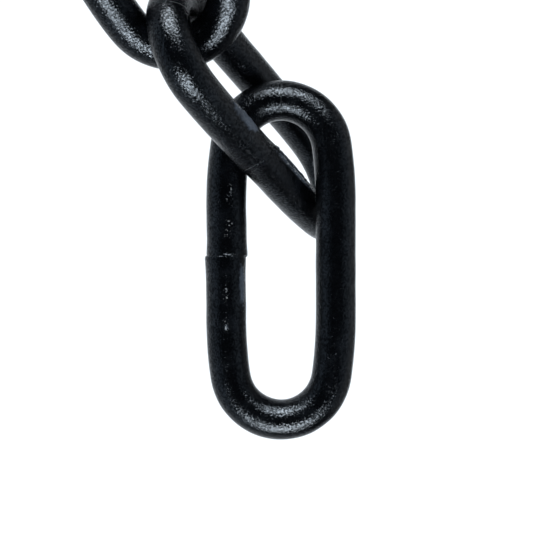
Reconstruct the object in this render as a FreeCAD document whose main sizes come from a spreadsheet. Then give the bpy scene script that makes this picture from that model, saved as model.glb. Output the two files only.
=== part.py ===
import FreeCAD, Part
import math
import os
import Sketcher

# A length of welded long-link anchor chain, laid loosely on a flat surface.
# +Z is up, the surface is z = 0 and the origin is the middle of the chain's outline on it.
# Every link is the same closed loop of black coated round bar, threaded through the next.
# The free end link comes first and lies along X.

DOCUMENT = FreeCAD.newDocument("AnchorChain")
V = FreeCAD.Vector

# ---------------------------------------------------------------- driving dimensions (mm)
DIMENSIONS = [
    ("bar_diameter", 13.0),
    ("inner_length", 90.7),
    ("inner_width", 22.6),
    ("leg_straight", 37.4),
    ("crown_radius", 16.6),
    ("weld_rise", 0.4),
    ("weld_length", 5.0),
    ("link_slack", 2.6),
]

sheet = DOCUMENT.addObject("Spreadsheet::Sheet", "Dimensions")
for row, (alias, value) in enumerate(DIMENSIONS, start=1):
    sheet.set(f"A{row}", alias)
    sheet.set(f"B{row}", str(value))
    sheet.setAlias(f"B{row}", alias)
DOCUMENT.recompute()


def size(alias):
    """A driving dimension as a plain number."""
    return float(sheet.get(alias))


bar = size("bar_diameter")
half_length = (size("inner_length") + bar) / 2
half_width = (size("inner_width") + bar) / 2
half_straight = size("leg_straight") / 2
crown_radius = size("crown_radius")

# The shoulder is one large arc, tangent to the straight leg and to the crown arc.
shoulder_rise = half_length - crown_radius - half_straight
shoulder_radius = ((half_width**2 + shoulder_rise**2 - crown_radius**2)
                   / (2 * (half_width - crown_radius)))
shoulder_turn = math.atan2(shoulder_rise, shoulder_radius - half_width)


# ---------------------------------------------------------------- one link
def origin_plane(body, role):
    """One of the body's own origin planes."""
    return next(f for f in body.Origin.OriginFeatures if f.Role == role)


def new_sketch(body, name, role):
    sketch = body.newObject("Sketcher::SketchObject", name)
    sketch.AttachmentSupport = [(origin_plane(body, role), "")]
    sketch.MapMode = "FlatFace"
    return sketch


def dimension(sketch, constraint, expression):
    """Adds a constraint and binds it to the spreadsheet."""
    index = sketch.addConstraint(constraint)
    sketch.setExpression(f"Constraints[{index}]", expression)


def draw_half_link(sketch):
    """Centreline of half a link: a straight leg, two shoulders and two quarter crowns."""
    up = V(0, 0, 1)
    centre_x = half_width - shoulder_radius
    crown_y = half_length - crown_radius
    leg = sketch.addGeometry(Part.LineSegment(V(half_width, -half_straight, 0),
                                              V(half_width, half_straight, 0)))
    ends = []
    for side in (1, -1):
        shoulder = Part.Circle(V(centre_x, side * half_straight, 0), up, shoulder_radius)
        crown = Part.Circle(V(0, side * crown_y, 0), up, crown_radius)
        turns = sorted((0, side * shoulder_turn))
        shoulder_id = sketch.addGeometry(Part.ArcOfCircle(shoulder, *turns))
        turns = sorted((side * shoulder_turn, side * math.pi / 2))
        crown_id = sketch.addGeometry(Part.ArcOfCircle(crown, *turns))
        near, far = (1, 2) if side > 0 else (2, 1)
        sketch.addConstraint(Sketcher.Constraint("Tangent", leg, far, shoulder_id, near))
        sketch.addConstraint(Sketcher.Constraint("Tangent", shoulder_id, far, crown_id, near))
        sketch.addConstraint(Sketcher.Constraint("PointOnObject", crown_id, 3, -2))
        sketch.addConstraint(Sketcher.Constraint("PointOnObject", crown_id, far, -2))
        ends.append((shoulder_id, crown_id, far))
    (top_shoulder, top_crown, top_end), (low_shoulder, low_crown, _) = ends
    sketch.addConstraint(Sketcher.Constraint("Symmetric", leg, 1, leg, 2, -1))
    sketch.addConstraint(Sketcher.Constraint("Equal", top_shoulder, low_shoulder))
    sketch.addConstraint(Sketcher.Constraint("Equal", top_crown, low_crown))
    dimension(sketch, Sketcher.Constraint("DistanceX", -1, 1, leg, 2, half_width),
              "(Dimensions.inner_width + Dimensions.bar_diameter) / 2")
    dimension(sketch, Sketcher.Constraint("DistanceY", leg, 1, leg, 2, 2 * half_straight),
              "Dimensions.leg_straight")
    dimension(sketch, Sketcher.Constraint("Radius", top_crown, crown_radius), "Dimensions.crown_radius")
    dimension(sketch, Sketcher.Constraint("DistanceY", -1, 1, top_crown, top_end, half_length),
              "(Dimensions.inner_length + Dimensions.bar_diameter) / 2")


def draw_bar_section(sketch):
    """The round bar, where the link's centreline crosses the long axis."""
    circle = sketch.addGeometry(Part.Circle(V(-half_length, 0, 0), V(0, 0, 1), bar / 2))
    sketch.addConstraint(Sketcher.Constraint("PointOnObject", circle, 3, -1))
    dimension(sketch, Sketcher.Constraint("DistanceX", circle, 3, -1, 1, half_length),
              "(Dimensions.inner_length + Dimensions.bar_diameter) / 2")
    dimension(sketch, Sketcher.Constraint("Diameter", circle, bar), "Dimensions.bar_diameter")


def draw_weld_bead(sketch):
    """Half section of the low upset bead left round the leg by the butt weld."""
    reach = size("weld_length") / 2
    skin = half_width + bar / 2
    crest = skin + size("weld_rise")
    inner = V(half_width, -reach, 0), V(half_width, reach, 0)
    outer = V(skin, -reach, 0), V(skin, reach, 0)
    low = sketch.addGeometry(Part.LineSegment(inner[0], outer[0]))
    bead = sketch.addGeometry(Part.Arc(outer[0], V(crest, 0, 0), outer[1]))
    high = sketch.addGeometry(Part.LineSegment(outer[1], inner[1]))
    core = sketch.addGeometry(Part.LineSegment(inner[1], inner[0]))
    arc_start, arc_end = 1, 2
    if sketch.getPoint(bead, arc_start).y > 0:
        arc_start, arc_end = 2, 1
    sketch.addConstraint(Sketcher.Constraint("Coincident", low, 2, bead, arc_start))
    sketch.addConstraint(Sketcher.Constraint("Coincident", bead, arc_end, high, 1))
    sketch.addConstraint(Sketcher.Constraint("Coincident", high, 2, core, 1))
    sketch.addConstraint(Sketcher.Constraint("Coincident", core, 2, low, 1))
    sketch.addConstraint(Sketcher.Constraint("Horizontal", low))
    sketch.addConstraint(Sketcher.Constraint("Horizontal", high))
    sketch.addConstraint(Sketcher.Constraint("Symmetric", core, 1, core, 2, -1))
    dimension(sketch, Sketcher.Constraint("DistanceX", -1, 1, core, 1, half_width),
              "(Dimensions.inner_width + Dimensions.bar_diameter) / 2")
    dimension(sketch, Sketcher.Constraint("DistanceX", core, 1, high, 1, bar / 2),
              "Dimensions.bar_diameter / 2")
    dimension(sketch, Sketcher.Constraint("DistanceY", core, 2, core, 1, 2 * reach),
              "Dimensions.weld_length")
    chord, rise = reach, size("weld_rise")
    dimension(sketch, Sketcher.Constraint("Radius", bead, (chord**2 + rise**2) / (2 * rise)),
              "((Dimensions.weld_length / 2) ^ 2 + Dimensions.weld_rise ^ 2)"
              " / (2 * Dimensions.weld_rise)")
    return core


def make_link(name):
    """One closed link: swept bar, mirrored about its long axis, with its weld bead."""
    body = DOCUMENT.addObject("PartDesign::Body", name)
    body.Label = name

    path = new_sketch(body, f"{name}_path", "XY_Plane")
    draw_half_link(path)
    section = new_sketch(body, f"{name}_section", "YZ_Plane")
    draw_bar_section(section)
    DOCUMENT.recompute()

    half = body.newObject("PartDesign::AdditivePipe", f"{name}_half")
    half.Profile = section
    half.Spine = path
    DOCUMENT.recompute()

    whole = body.newObject("PartDesign::Mirrored", f"{name}_whole")
    whole.Originals = [half]
    whole.MirrorPlane = (origin_plane(body, "YZ_Plane"), [""])
    body.Tip = whole
    DOCUMENT.recompute()

    bead_sketch = new_sketch(body, f"{name}_bead_section", "XY_Plane")
    draw_weld_bead(bead_sketch)
    DOCUMENT.recompute()
    bead = body.newObject("PartDesign::Revolution", f"{name}_bead")
    bead.Profile = bead_sketch
    bead.ReferenceAxis = (bead_sketch, ["Edge4"])
    bead.Angle = 360.0
    body.Tip = bead
    DOCUMENT.recompute()
    return body


# ---------------------------------------------------------------- how the chain lies
# Each link: heading of its long axis, seen from above, and roll about that axis. Roll 0 lays
# the welded leg level on the left of the heading, and roll 90 stands it straight up. Links
# roll about 45 degrees to either side in turn, as an untwisted chain does on a flat surface.
HEADING_AND_ROLL = [
    (180.0, 310.7), (241.0, 23.8), (220.0, 127.0), (212.0, 42.0), (192.0, 315.0),
    (169.0, 225.0), (146.0, 135.0), (123.0, 45.0), (103.0, 135.0), (92.0, 225.0),
    (102.0, 135.0), (125.0, 45.0), (149.0, 315.0), (173.0, 45.0), (197.0, 135.0),
    (221.0, 225.0), (245.0, 135.0), (264.0, 45.0), (270.0, 315.0), (262.0, 45.0),
    (242.0, 135.0), (222.0, 225.0),
]
# The links nearest the free end hold one another up: centre of each, and its climb in degrees.
FREE_END_CENTRE_AND_CLIMB = [
    (V(0.0, 0.0, 21.2), 1.5), (V(-46.1, -5.1, 17.1), 6.0),
    (V(-105.7, -69.1, 20.9), 0.3), (V(-174.5, -119.1, 18.4), 0.0),
]


def link_rotation(heading, roll, pitch=0.0):
    """Turns a link's own axes (across, along, out of plane) to lie along its heading."""
    yaw, climb, turn = (math.radians(angle) for angle in (heading, pitch, roll))
    along = V(math.cos(climb) * math.cos(yaw), math.cos(climb) * math.sin(yaw),
              math.sin(climb))
    left = V(-math.sin(yaw), math.cos(yaw), 0)
    above = along.cross(left)
    across = left * math.cos(turn) + above * math.sin(turn)
    return FreeCAD.Rotation(across, along, across.cross(along), "XYZ")


def lying_height(roll):
    """Height of a level link's centre when its lower leg rests on the surface."""
    return bar / 2 + half_width * abs(math.sin(math.radians(roll)))


def chain_placements():
    """Placements of every link, from the free end on."""
    reach = half_length - (bar + size("link_slack")) / 2
    placements = []
    for index, (heading, roll) in enumerate(HEADING_AND_ROLL):
        if index < len(FREE_END_CENTRE_AND_CLIMB):
            centre, climb = FREE_END_CENTRE_AND_CLIMB[index]
            rotation = link_rotation(heading, roll, climb)
        else:
            last = placements[-1]
            rotation = link_rotation(heading, roll)
            centre = (last.Base + last.Rotation.multVec(V(0, reach, 0))
                      + rotation.multVec(V(0, reach, 0)))
            centre.z = lying_height(roll)
        placements.append(FreeCAD.Placement(centre, rotation))
    return placements


links = []
for number, placement in enumerate(chain_placements(), start=1):
    link = make_link(f"link_{number:02d}")
    link.Placement = placement
    links.append(link)
DOCUMENT.recompute()

# The origin is the middle of the chain's own outline, on the surface.
outline = FreeCAD.BoundBox()
for link in links:
    outline.add(link.Shape.optimalBoundingBox(False, False))
shift = V(-outline.Center.x, -outline.Center.y, -outline.ZMin)
for link in links:
    link.Placement.Base = link.Placement.Base + shift
DOCUMENT.recompute()

# ---------------------------------------------------------------- checks and files
for item in DOCUMENT.Objects:
    if {"Invalid", "Error"} & set(item.State):
        raise RuntimeError(f"{item.Label}: {item.State}")

centreline = 4 * (half_straight + shoulder_radius * shoulder_turn
                  + crown_radius * (math.pi / 2 - shoulder_turn))
bar_volume = math.pi * bar**2 / 4 * centreline
os.makedirs("parts", exist_ok=True)
for link in links:
    shape = link.Shape
    if shape.isNull() or not shape.isValid() or len(shape.Solids) != 1:
        raise RuntimeError(f"{link.Label}: bad shape")
    if not bar_volume < shape.Volume < 1.01 * bar_volume:
        raise RuntimeError(f"{link.Label}: volume {shape.Volume:.0f}, bar {bar_volume:.0f}")
    shape.exportStep(f"parts/{link.Label}.step")
print(f"{len(links)} links, {links[0].Shape.Volume:.0f} mm3 each, bar {bar_volume:.0f}")
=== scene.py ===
import math
import random

import bmesh
import bpy
import numpy as np
from bpy.props import FloatProperty, FloatVectorProperty, PointerProperty
from mathutils import Matrix, Vector, noise


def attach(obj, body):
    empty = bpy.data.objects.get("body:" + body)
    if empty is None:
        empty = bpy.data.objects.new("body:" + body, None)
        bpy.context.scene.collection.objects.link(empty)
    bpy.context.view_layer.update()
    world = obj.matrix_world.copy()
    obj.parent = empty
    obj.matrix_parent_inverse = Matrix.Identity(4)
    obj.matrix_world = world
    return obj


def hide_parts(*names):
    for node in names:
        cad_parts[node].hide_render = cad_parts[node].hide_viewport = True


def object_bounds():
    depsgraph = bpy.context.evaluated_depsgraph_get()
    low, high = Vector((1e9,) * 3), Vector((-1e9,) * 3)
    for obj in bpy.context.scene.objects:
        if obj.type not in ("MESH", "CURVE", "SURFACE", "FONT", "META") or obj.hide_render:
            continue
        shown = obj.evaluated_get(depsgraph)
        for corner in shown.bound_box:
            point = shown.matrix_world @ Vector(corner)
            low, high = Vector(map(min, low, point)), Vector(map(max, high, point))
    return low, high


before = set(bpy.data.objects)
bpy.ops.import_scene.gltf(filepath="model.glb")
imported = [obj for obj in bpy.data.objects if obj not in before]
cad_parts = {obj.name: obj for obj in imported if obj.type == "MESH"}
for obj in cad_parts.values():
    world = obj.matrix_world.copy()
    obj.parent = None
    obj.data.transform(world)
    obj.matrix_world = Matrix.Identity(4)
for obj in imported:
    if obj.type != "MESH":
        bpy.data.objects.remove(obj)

bl_info = {
    "name": "Anchor chain",
    "version": (1, 0, 0),
    "blender": (4, 5, 0),
    "location": "3D View > Sidebar > Chain",
    "description": "Welded long-link anchor chain with a black coating, above a studio floor",
    "category": "Object",
}

CAD_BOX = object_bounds()
LINKS = sorted(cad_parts)
MM_PER_M = 1000

# Sides round the bar, and step along it in metres.
FINE_MESH = (112, 0.0005)
PLAIN_MESH = (56, 0.001)
LEG_STEP_SHARE = 0.6
MERGE_DISTANCE = 1e-6

# Unevenness of the skin: scales are per metre or against the coarse noise.
NOISE_SCALE = 160
NOISE_STEP_PER_LINK = (3.1, 1.7, 0.9)
RAGGED_SCALE = 5
RIM_RAGGEDNESS = 0.35
RIM_SHARPNESS = 4

# The weld: widths and reach along the leg in mm, and how far in metres it stays from the
# crown. Then how the ring of the hairline round the crown is picked.
SEAM_RAGGEDNESS = 0.25
UPSET_WIDTH = 3.5
GROOVE_WIDTH = 0.32
MISMATCH_REACH = 16
CROWN_CLEARANCE = 0.005
MIDDLE_TOLERANCE = 1e-5
HAIRLINE_FACING = -0.6

# The coating: from and to in its noises, and shares of, or steps from, the values below.
SPECKLE_SHARE = 1.1
CLOUD_SIZE = 0.006
DUST_RANGE = (0.5, 0.8)
DUST_SHARE = 3.5
GREY_RANGE = (0.3, 0.7)
DARK_GREY_SHARE = 0.4
# Where in the grain the pale dots of painted glints appear.
PAINTED_GLINT_RANGE = (0.6, 0.66)
PALE_RANGE = (0.2, 0.6)
HAIRLINE_RANGE = (0.8, 1.0)
HAIRLINE_STRENGTH = 0.35
GLINT_RANGE = (0.4, 0.62)
GLINT_SHARES = (0.5, 1.9)
ROUGHNESS_RANGE = (0.3, 0.7)
SMOOTHER, ROUGHER = 0.03, 0.07
WORN_ROUGHNESS = 0.12

# Places of the colour sockets on Blender's mix node.
MIX_COLOUR_FIRST, MIX_COLOUR_SECOND, MIX_COLOUR_RESULT = 6, 7, 2

# Camera and studio.
SENSOR_WIDTH = 36.0
SHIFT_RIGHT, SHIFT_UP = -0.0109, -0.0273
CLIP_START = 0.01
STRIP_DISTANCE = 2.7
STRIP_SIZE = (2.1, 0.75)
PANEL_ANGLE = math.radians(85)
PANEL_DISTANCE = 3.0
PANEL_SIZE = (6.0, 4.8)
PANEL_POWER = 90.0
FLOOR_SIZE = 20.0
FLOOR_ROUGHNESS = 0.9
FLOOR_GLOW_COLOUR = (0.9, 0.95, 1.0, 1)
FLOOR_GLOW = 0.3
WORLD_COLOUR = (0.86, 0.93, 1.0, 1)
WORLD_STRENGTH = 1.5


# ---------------------------------------------------------------- sizes and colours
class ChainLinkSizes(bpy.types.PropertyGroup):
    """Sizes of one link's centreline and bar, the same as the CAD part's."""

    bar_radius: FloatProperty(
        name="Bar radius", description="Radius of the round bar",
        default=0.0065, unit="LENGTH")
    half_length: FloatProperty(
        name="Half length", description="From the link's middle to its crown's centreline",
        default=0.05185, unit="LENGTH")
    half_width: FloatProperty(
        name="Half width", description="From the long axis to a leg's centreline",
        default=0.0178, unit="LENGTH")
    half_straight: FloatProperty(
        name="Half straight", description="Half the straight part of a leg",
        default=0.0187, unit="LENGTH")
    crown_radius: FloatProperty(
        name="Crown radius", description="Radius of the crown's centreline",
        default=0.0166, unit="LENGTH")


class ChainWeldSizes(bpy.types.PropertyGroup):
    """The butt weld in one leg of every link, and the unevenness of the bar."""

    upset: FloatProperty(
        name="Upset", description="How far the bar swells at the weld",
        default=0.0002, unit="LENGTH")
    mismatch: FloatProperty(
        name="Mismatch", description="How far each bar end is out of line at the weld",
        default=0.00028, unit="LENGTH")
    groove: FloatProperty(
        name="Groove", description="Depth of the line where the two bar ends meet",
        default=0.00022, unit="LENGTH")
    flash: FloatProperty(
        name="Flash", description="Height of the flash that trimming left beside the weld",
        default=0.0004, unit="LENGTH")
    ridge: FloatProperty(
        name="Ridge", description="Height of a ragged ridge of flash",
        default=0.0007, unit="LENGTH")
    waviness: FloatProperty(
        name="Waviness", description="Unevenness of the rolled bar under its coating",
        default=0.00007, unit="LENGTH")


class ChainCoating(bpy.types.PropertyGroup):
    """The black coating."""

    colour: FloatVectorProperty(
        name="Colour", description="Colour of the coating",
        default=(0.0010, 0.0012, 0.0016), subtype="COLOR", size=3, min=0, max=1)
    # Grey of worn coating on trimmed flash; on ridges of flash the same grey is a painted highlight
    # for their edges catching light.
    rubbed_and_highlight_colour: FloatVectorProperty(
        name="Rubbed colour", description="Greyed coating on trimmed flash and rubbed places",
        default=(0.048, 0.056, 0.070), subtype="COLOR", size=3, min=0, max=1)
    # Painted glints: pale dots standing for pits and ridges catching light.
    painted_glint_specks: FloatVectorProperty(
        name="Specks", description="Colour of the palest specks in a pitted place",
        default=(0.24, 0.24, 0.23), subtype="COLOR", size=3, min=0, max=1)
    grain: FloatProperty(
        name="Grain", description="Size of the coating's orange-peel grain",
        default=0.0006, unit="LENGTH")
    grain_height: FloatProperty(
        name="Grain height", description="Height of the orange-peel grain",
        default=0.0002, unit="LENGTH")
    pit_depth: FloatProperty(
        name="Pit depth", description="Depth of the pits in a pitted place",
        default=0.00012, unit="LENGTH")
    roughness: FloatProperty(
        name="Roughness", description="Roughness of the coating between its grains",
        default=0.14, min=0, max=1, subtype="FACTOR")
    shine: FloatProperty(
        name="Shine", description="Strength of the coating's reflection",
        default=0.095, min=0, max=1, subtype="FACTOR")
    shine_tint: FloatVectorProperty(
        name="Shine tint", description="Colour of the coating's reflection",
        default=(0.62, 0.8, 1.0), subtype="COLOR", size=3, min=0, max=1)


class ChainStage(bpy.types.PropertyGroup):
    """Camera and studio."""

    distance: FloatProperty(
        name="Distance", description="From the camera to the free end link's middle",
        default=0.39, unit="LENGTH")
    lens: FloatProperty(
        name="Lens", description="Focal length of the camera",
        default=78.5, subtype="DISTANCE_CAMERA")
    strip_angle: FloatProperty(
        name="Strip angle", description="Angle between the camera and each strip light",
        default=math.radians(51), unit="ROTATION")
    strip_power: FloatProperty(
        name="Strip power", description="Power of each strip light",
        default=500.0, unit="POWER")
    strip_colour: FloatVectorProperty(
        name="Strip colour", description="Colour of the strip lights",
        default=(1.0, 0.9, 0.82), subtype="COLOR", size=3, min=0, max=1)
    floor_drop: FloatProperty(
        name="Floor drop", description="How far the floor is below the chain, so that it can swing",
        default=1.7, unit="LENGTH")
    floor_colour: FloatVectorProperty(
        name="Floor", description="Colour of the floor",
        default=(0.6, 0.6, 0.6), subtype="COLOR", size=3, min=0, max=1)


# ---------------------------------------------------------------- where the links lie
def link_place(name):
    """A link's own axes (toward its weld, along, out of plane), read from its CAD mesh."""
    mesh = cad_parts[name].data
    centres = np.empty(len(mesh.polygons) * 3)
    areas = np.empty(len(mesh.polygons))
    mesh.polygons.foreach_get("center", centres)
    mesh.polygons.foreach_get("area", areas)
    centres = centres.reshape(-1, 3)
    middle = np.average(centres, axis=0, weights=areas)
    spread = centres - middle
    _, axes = np.linalg.eigh((spread * areas[:, None]).T @ spread)
    along = Vector(axes[:, 2])
    across = Vector(axes[:, 1])
    reach = spread @ np.array(across)
    if reach.max() < -reach.min():
        across.negate()
    tie_break = 0.001 * along.y
    if along.x + tie_break > 0:
        along.negate()
    out = across.cross(along)
    turn = Matrix((across, along, out)).transposed().to_4x4()
    return Matrix.Translation(Vector(middle)) @ turn


# ---------------------------------------------------------------- one link's shape
def sweep_link(sizes, sides, step):
    """A closed link about its own origin: a quarter is spun and extruded, then mirrored twice."""
    rise = sizes.half_length - sizes.crown_radius - sizes.half_straight
    shoulder = ((sizes.half_width**2 + rise**2 - sizes.crown_radius**2)
                / (2 * (sizes.half_width - sizes.crown_radius)))
    turn = math.atan2(rise, shoulder - sizes.half_width)
    bm = bmesh.new()
    quarter_turn = Matrix.Rotation(math.pi / 2, 4, "Y")
    across_bar = Matrix.Translation((0, sizes.half_length, 0)) @ quarter_turn
    ring = bmesh.ops.create_circle(
        bm, segments=sides, radius=sizes.bar_radius, matrix=across_bar)["verts"]
    ends = ring + list({e for v in ring for e in v.link_edges})
    arcs = (
        ((0, sizes.half_length - sizes.crown_radius, 0), sizes.crown_radius, math.pi / 2 - turn),
        ((sizes.half_width - shoulder, sizes.half_straight, 0), shoulder, turn),
    )
    for centre, radius, angle in arcs:
        spun = bmesh.ops.spin(
            bm, geom=ends, cent=centre, axis=(0, 0, 1), dvec=(0, 0, 0), angle=-angle,
            steps=max(2, round(radius * angle / step)), use_merge=False, use_duplicate=False)
        ends = spun["geom_last"]
    count = round(sizes.half_straight / (LEG_STEP_SHARE * step))
    for _ in range(count):
        edges = [e for e in ends if isinstance(e, bmesh.types.BMEdge)]
        ends = bmesh.ops.extrude_edge_only(bm, edges=edges)["geom"]
        verts = [v for v in ends if isinstance(v, bmesh.types.BMVert)]
        bmesh.ops.translate(bm, verts=verts, vec=(0, -sizes.half_straight / count, 0))
    for axis in ("Y", "X"):
        bmesh.ops.mirror(bm, geom=bm.verts[:] + bm.edges[:] + bm.faces[:],
                         matrix=Matrix.Identity(4), merge_dist=MERGE_DISTANCE, axis=axis)
    bmesh.ops.recalc_face_normals(bm, faces=bm.faces[:])
    return bm


# Marks on the welded leg: kind, from and to along the leg in mm, from and to round the bar
# in degrees. 0 degrees is the bar's outer side, and -90 faces the viewer of the free link.
FREE_LINK_MARKS = (
    ("flash", -15.5, -0.3, -156, -132),
    ("pits", 6.4, 14.0, -109, -84),
    ("pits", 16.0, 24.6, -112, -92),
    ("pits", -14.0, -7.4, -100, -84),
    ("pits", -24.0, -18.0, -98, -88),
    ("ridge", -21.7, -21.2, -106, -84),
)
SECOND_LINK_MARKS = (
    ("flash", 12.5, 27.5, -106, -64),
    ("ridge", -23.3, 4.7, -88, -78),
    ("ridge", -20.0, 3.0, -101, -94),
)
# Seam of the weld: middle and tilt along the leg in mm, its highest place in degrees, and
# which bar end stands out.
FREE_LINK_SEAM = (1.2, 0.35, -90, -1)
SECOND_LINK_SEAM = (1.4, 4.2, -12, 1)
# Marks on the links further along: kind, length in mm and turn in degrees. Then where they may
# lie along and round the bar, and how far their seams vary.
CHANCE_MARKS = (("flash", 11, 26), ("ridge", 16, 12), ("pits", 8, 22), ("pits", 6, 18))
FIRST_START, LAST_MIDDLE = -20, 16
FIRST_TURN, LAST_TURN = -170, 150
SEAM_MIDDLES = (-1.5, 1.5)
SEAM_TILTS = (0.2, 1.6)
# Flash turns grey as worn coating. Ridges turn grey with pale dots, a painted highlight for edges
# catching light. Pits get pale dots, painted glints for pits catching light.
MARK_LAYERS = {"flash": ("rubbed_and_ridge_highlight",), "ridge": ("rubbed_and_ridge_highlight", "pits_and_painted_glints"), "pits": ("pits_and_painted_glints",)}


def chance_marks(seed):
    """Marks and seam of a link further along the chain, different on every link."""
    dice = random.Random(seed)
    marks = []
    for kind, length, turn in CHANCE_MARKS:
        start = dice.uniform(FIRST_START, LAST_MIDDLE - length / 2)
        around = dice.uniform(FIRST_TURN, LAST_TURN)
        marks.append((kind, start, start + length, around, around + turn))
    seam = (dice.uniform(*SEAM_MIDDLES), dice.uniform(*SEAM_TILTS), dice.uniform(-180, 180),
            dice.choice((-1, 1)))
    return marks, seam


def bump(distance, width):
    """A smooth hill, 1 in the middle and 0 far away."""
    return math.exp(-(distance / width) ** 2)


def angle_round_bar(vert):
    """Angle in degrees round the bar: 0 on the link's outer side, 90 out of its plane."""
    normal = vert.normal
    outward = math.copysign(math.hypot(normal.x, normal.y),
                            vert.co.x * normal.x + vert.co.y * normal.y)
    return math.degrees(math.atan2(normal.z, outward))


def mark_strength(mark, along, angle, ragged):
    """1 inside a mark, falling to 0 over its uneven rim."""
    _, low, high, start, end = mark
    place = (2 * along - low - high) / (high - low)
    turn = (angle - (start + end) / 2 + 180) % 360 - 180
    reach = math.hypot(place, 2 * turn / (end - start)) + RIM_RAGGEDNESS * ragged
    return min(1.0, max(0.0, RIM_SHARPNESS * (1 - reach)))


def shape_skin(bm, sizes, weld, marks, seam, seed):
    """Presses the weld, its marks and the bar's slight unevenness into the skin."""
    heights = {"flash": weld.flash, "ridge": weld.ridge, "pits": 0.0}
    layers = {name: bm.verts.layers.float.new(name) for name in ("rubbed_and_ridge_highlight", "pits_and_painted_glints", "hairline")}
    offset = Vector([seed * part for part in NOISE_STEP_PER_LINK])
    seam_middle, seam_tilt, seam_peak, seam_step = seam
    for vert in bm.verts:
        spot = vert.co * NOISE_SCALE + offset
        height = weld.waviness * noise.noise(spot)
        shift = Vector()
        if vert.co.x > 0 and abs(vert.co.y) < sizes.half_length - CROWN_CLEARANCE:
            angle = angle_round_bar(vert)
            along = vert.co.y * MM_PER_M
            ragged = noise.noise(spot * RAGGED_SCALE)
            past = along - seam_middle - seam_tilt * math.cos(math.radians(angle - seam_peak))
            past += SEAM_RAGGEDNESS * ragged
            height += (weld.upset * bump(past, UPSET_WIDTH)
                       - weld.groove * bump(past, GROOVE_WIDTH))
            out_of_line = seam_step * weld.mismatch * max(0.0, 1 - abs(past) / MISMATCH_REACH)
            shift.x = math.copysign(1, past) * out_of_line
            for mark in marks:
                strength = mark_strength(mark, along, angle, ragged)
                height += heights[mark[0]] * strength
                for name in MARK_LAYERS[mark[0]]:
                    vert[layers[name]] = max(vert[layers[name]], strength)
        elif (abs(vert.co.x) < MIDDLE_TOLERANCE and vert.co.y > 0
              and vert.normal.z < HAIRLINE_FACING):
            vert[layers["hairline"]] = 1.0
        vert.co += shift + vert.normal * height


def add_link(name, sides, step, seed, marks, seam):
    """A finished link in its place, in the CAD link's stead."""
    scene = bpy.context.scene
    bm = sweep_link(scene.chain_link, sides, step)
    bm.normal_update()
    shape_skin(bm, scene.chain_link, scene.chain_weld, marks, seam, seed)
    bmesh.ops.transform(bm, matrix=link_place(name), verts=bm.verts)
    for face in bm.faces:
        face.smooth = True
    mesh = bpy.data.meshes.new(f"{name}_bar")
    bm.to_mesh(mesh)
    bm.free()
    piece = bpy.data.objects.new(f"{name}_bar", mesh)
    scene.collection.objects.link(piece)
    mesh.materials.append(coating_material())
    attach(piece, name)
    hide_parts(name)


# ---------------------------------------------------------------- materials
def noise_node(nodes, links, place, size, detail):
    """Noise over the object, with features of about the given size."""
    node = nodes.new("ShaderNodeTexNoise")
    node.inputs["Scale"].default_value = 1 / size
    node.inputs["Detail"].default_value = detail
    links.new(place.outputs["Object"], node.inputs["Vector"])
    return node.outputs["Fac"]


def ramp_node(nodes, links, value, low, high, low_colour, high_colour):
    """Turns a value into a colour, from one colour at low to the other at high."""
    node = nodes.new("ShaderNodeValToRGB")
    node.color_ramp.elements[0].position = low
    node.color_ramp.elements[0].color = (*low_colour, 1)
    node.color_ramp.elements[1].position = high
    node.color_ramp.elements[1].color = (*high_colour, 1)
    links.new(value, node.inputs["Fac"])
    return node.outputs["Color"]


def range_node(nodes, links, value, from_low, from_high, to_low, to_high):
    """Maps a value from one range to another and keeps it inside."""
    node = nodes.new("ShaderNodeMapRange")
    for key, number in (("From Min", from_low), ("From Max", from_high),
                        ("To Min", to_low), ("To Max", to_high)):
        node.inputs[key].default_value = number
    links.new(value, node.inputs["Value"])
    return node.outputs["Result"]


def attribute_node(nodes, name):
    """One of the marks painted on the link's skin, 0 to 1."""
    node = nodes.new("ShaderNodeAttribute")
    node.attribute_name = name
    return node.outputs["Fac"]


def math_node(nodes, links, operation, first, second):
    """Two values, added or multiplied."""
    node = nodes.new("ShaderNodeMath")
    node.operation = operation
    links.new(first, node.inputs[0])
    links.new(second, node.inputs[1])
    return node.outputs[0]


def mix_node(nodes, links, factor, first, second):
    """First colour where the factor is 0, second colour where it is 1."""
    node = nodes.new("ShaderNodeMix")
    node.data_type = "RGBA"
    links.new(factor, node.inputs["Factor"])
    links.new(first, node.inputs[MIX_COLOUR_FIRST])
    links.new(second, node.inputs[MIX_COLOUR_SECOND])
    return node.outputs[MIX_COLOUR_RESULT]


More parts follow.
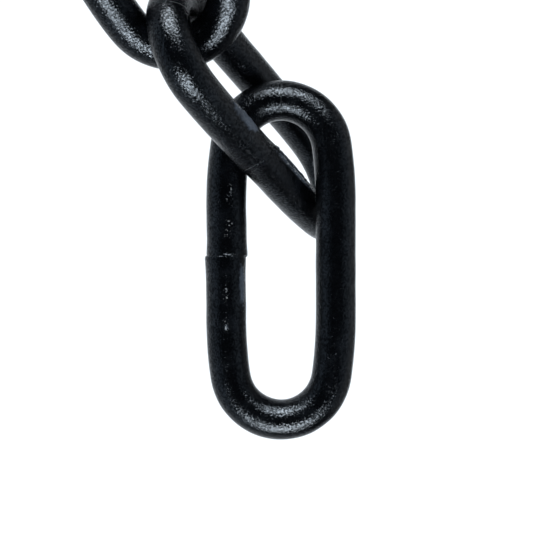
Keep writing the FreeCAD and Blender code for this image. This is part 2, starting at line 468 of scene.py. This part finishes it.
def coating_material():
    """Satin black coating: orange-peel grain, grey where worn on trimmed flash, painted highlight
    as grey and pale dots on ridges, painted glints as pale dots in pits.
    """
    made = bpy.data.materials.get("black_satin_coating")
    if made:
        return made
    coating = bpy.context.scene.chain_coating
    material = bpy.data.materials.new("black_satin_coating")
    material.use_nodes = True
    nodes, links = material.node_tree.nodes, material.node_tree.links
    shader = nodes["Principled BSDF"]
    shader.inputs["Specular Tint"].default_value = (*coating.shine_tint, 1)
    place = nodes.new("ShaderNodeTexCoord")
    grain = noise_node(nodes, links, place, coating.grain, 2.0)
    speckle = noise_node(nodes, links, place, SPECKLE_SHARE * coating.grain, 1.0)
    cloud = noise_node(nodes, links, place, CLOUD_SIZE, 4.0)
    rubbed_and_ridge_highlight = attribute_node(nodes, "rubbed_and_ridge_highlight")
    pits_and_painted_glints = attribute_node(nodes, "pits_and_painted_glints")
    hairline = range_node(nodes, links, attribute_node(nodes, "hairline"),
                          *HAIRLINE_RANGE, 0.0, HAIRLINE_STRENGTH)

    dust = tuple(DUST_SHARE * part for part in coating.colour)
    base = ramp_node(nodes, links, cloud, *DUST_RANGE, coating.colour, dust)
    dark_grey = tuple(DARK_GREY_SHARE * part for part in coating.rubbed_and_highlight_colour)
    grey_wear_and_highlight = ramp_node(nodes, links, cloud, *GREY_RANGE, dark_grey, coating.rubbed_and_highlight_colour)
    # Grey where the coating is worn on flash; on ridges this grey is a painted highlight.
    base = mix_node(nodes, links, rubbed_and_ridge_highlight, base, grey_wear_and_highlight)
    # Painted glints: pale dots in pits and on ridges, where they would catch light.
    painted_glint_specks = range_node(nodes, links, grain, *PAINTED_GLINT_RANGE, 0.0, 1.0)
    painted_glint_specks = math_node(nodes, links, "MULTIPLY", painted_glint_specks, pits_and_painted_glints)
    pale = ramp_node(nodes, links, cloud, *PALE_RANGE, coating.rubbed_and_highlight_colour, coating.painted_glint_specks)
    base = mix_node(nodes, links, painted_glint_specks, base, pale)
    base = mix_node(nodes, links, hairline, base, pale)
    links.new(base, shader.inputs["Base Color"])

    dull, bright = (share * coating.shine for share in GLINT_SHARES)
    glints = range_node(nodes, links, speckle, *GLINT_RANGE, dull, bright)
    links.new(glints, shader.inputs["Specular IOR Level"])

    even = range_node(nodes, links, cloud, *ROUGHNESS_RANGE,
                      coating.roughness - SMOOTHER, coating.roughness + ROUGHER)
    worn = range_node(nodes, links, rubbed_and_ridge_highlight, 0.0, 1.0, 0.0, WORN_ROUGHNESS)
    links.new(math_node(nodes, links, "ADD", even, worn), shader.inputs["Roughness"])

    peel = nodes.new("ShaderNodeBump")
    peel.inputs["Strength"].default_value = 1.0
    peel.inputs["Distance"].default_value = coating.grain_height
    links.new(grain, peel.inputs["Height"])
    pits = nodes.new("ShaderNodeBump")
    pits.inputs["Distance"].default_value = coating.pit_depth
    links.new(pits_and_painted_glints, pits.inputs["Strength"])
    links.new(speckle, pits.inputs["Height"])
    links.new(peel.outputs["Normal"], pits.inputs["Normal"])
    links.new(pits.outputs["Normal"], shader.inputs["Normal"])
    return material


def floor_material():
    """Pale plain floor that glows a little."""
    material = bpy.data.materials.new("studio_paper")
    material.use_nodes = True
    shader = material.node_tree.nodes["Principled BSDF"]
    shader.inputs["Base Color"].default_value = (*bpy.context.scene.chain_stage.floor_colour, 1)
    shader.inputs["Roughness"].default_value = FLOOR_ROUGHNESS
    shader.inputs["Emission Color"].default_value = FLOOR_GLOW_COLOUR
    shader.inputs["Emission Strength"].default_value = FLOOR_GLOW
    return material


# ---------------------------------------------------------------- operators
class CHAIN_OT_free_link(bpy.types.Operator):
    """Make the free end link"""

    bl_idname = "chain.free_link"
    bl_label = "Free end link"

    def execute(self, context):
        add_link(LINKS[0], *FINE_MESH, 1.0, FREE_LINK_MARKS, FREE_LINK_SEAM)
        return {"FINISHED"}


class CHAIN_OT_second_link(bpy.types.Operator):
    """Make the link that the free end link hangs on"""

    bl_idname = "chain.second_link"
    bl_label = "Second link"

    def execute(self, context):
        add_link(LINKS[1], *FINE_MESH, 2.0, SECOND_LINK_MARKS, SECOND_LINK_SEAM)
        return {"FINISHED"}


class CHAIN_OT_long_run(bpy.types.Operator):
    """Make the other links of the chain"""

    bl_idname = "chain.long_run"
    bl_label = "Other links"

    def execute(self, context):
        for number, name in enumerate(LINKS[2:], start=3):
            add_link(name, *PLAIN_MESH, float(number), *chance_marks(number))
        return {"FINISHED"}


def add_area_light(name, target, toward, right, distance, size, power):
    """A rectangular light that faces the target and is seen only in the coating's shine."""
    light = bpy.data.lights.new(name, "AREA")
    light.shape = "RECTANGLE"
    light.size, light.size_y = size
    light.energy = power
    lamp = bpy.data.objects.new(name, light)
    lamp.visible_diffuse = False
    lamp.visible_camera = False
    side = (right - toward * right.dot(toward)).normalized()
    turn = Matrix((side, toward.cross(side), toward)).transposed().to_4x4()
    lamp.matrix_world = Matrix.Translation(target + toward * distance) @ turn
    bpy.context.scene.collection.objects.link(lamp)
    return light


def add_floor(middle, height):
    """A wide floor, far enough down for the chain to hang from its free end link."""
    bm = bmesh.new()
    bmesh.ops.create_grid(bm, x_segments=1, y_segments=1, size=FLOOR_SIZE)
    bmesh.ops.translate(bm, verts=bm.verts, vec=(middle.x, middle.y, height))
    mesh = bpy.data.meshes.new("floor")
    bm.to_mesh(mesh)
    bm.free()
    mesh.materials.append(floor_material())
    floor = bpy.data.objects.new("floor", mesh)
    bpy.context.scene.collection.objects.link(floor)


class CHAIN_OT_stage(bpy.types.Operator):
    """Make the floor, the lights and the camera"""

    bl_idname = "chain.stage"
    bl_label = "Stage"

    def execute(self, context):
        scene = context.scene
        stage = scene.chain_stage
        place = link_place(LINKS[0])
        middle = place.translation
        across, up, out = (place.col[axis].to_3d() for axis in range(3))
        right = -across
        back = -out
        add_floor(middle, CAD_BOX[0][2] - stage.floor_drop)

        camera = bpy.data.cameras.new("camera")
        camera.lens = stage.lens
        camera.sensor_width = SENSOR_WIDTH
        camera.shift_x = SHIFT_RIGHT
        camera.shift_y = SHIFT_UP
        camera.clip_start = CLIP_START
        eye = bpy.data.objects.new("camera", camera)
        turn = Matrix((right, up, back)).transposed().to_4x4()
        eye.matrix_world = Matrix.Translation(middle + back * stage.distance) @ turn
        scene.collection.objects.link(eye)
        scene.camera = eye

        for name, sign in (("strip_head", 1), ("strip_foot", -1)):
            toward = back * math.cos(stage.strip_angle) + up * (sign * math.sin(stage.strip_angle))
            strip = add_area_light(
                name, middle, toward, right, STRIP_DISTANCE, STRIP_SIZE, stage.strip_power)
            strip.color = stage.strip_colour
        beside = back * math.cos(PANEL_ANGLE) + right * math.sin(PANEL_ANGLE)
        add_area_light(
            "side_panel", middle, beside, up, PANEL_DISTANCE, PANEL_SIZE, PANEL_POWER)

        world = bpy.data.worlds.new("studio")
        world.use_nodes = True
        background = world.node_tree.nodes["Background"]
        background.inputs["Color"].default_value = WORLD_COLOUR
        background.inputs["Strength"].default_value = WORLD_STRENGTH
        world.cycles_visibility.glossy = False
        scene.world = world
        scene.view_settings.view_transform = "Standard"
        return {"FINISHED"}


class CHAIN_PT_panel(bpy.types.Panel):
    """The chain's pieces, sizes and colours"""

    bl_idname = "CHAIN_PT_panel"
    bl_label = "Anchor chain"
    bl_space_type = "VIEW_3D"
    bl_region_type = "UI"
    bl_category = "Chain"

    def draw(self, context):
        layout = self.layout
        for group_name in GROUPS:
            group = getattr(context.scene, group_name)
            box = layout.box()
            for prop in group.bl_rna.properties:
                if not prop.is_readonly and prop.identifier != "name":
                    box.prop(group, prop.identifier)
        for operator in STEPS:
            layout.operator(operator.bl_idname)


GROUPS = {
    "chain_link": ChainLinkSizes,
    "chain_weld": ChainWeldSizes,
    "chain_coating": ChainCoating,
    "chain_stage": ChainStage,
}
STEPS = (CHAIN_OT_stage, CHAIN_OT_free_link, CHAIN_OT_second_link, CHAIN_OT_long_run)


def register():
    for cls in (*GROUPS.values(), *STEPS, CHAIN_PT_panel):
        bpy.utils.register_class(cls)
    for name, group in GROUPS.items():
        setattr(bpy.types.Scene, name, PointerProperty(type=group))


def unregister():
    for name in GROUPS:
        delattr(bpy.types.Scene, name)
    for cls in reversed((*GROUPS.values(), *STEPS, CHAIN_PT_panel)):
        bpy.utils.unregister_class(cls)


def main():
    register()
    for step in STEPS:
        group, name = step.bl_idname.split(".")
        getattr(getattr(bpy.ops, group), name)()


if __name__ == "__main__":
    main()
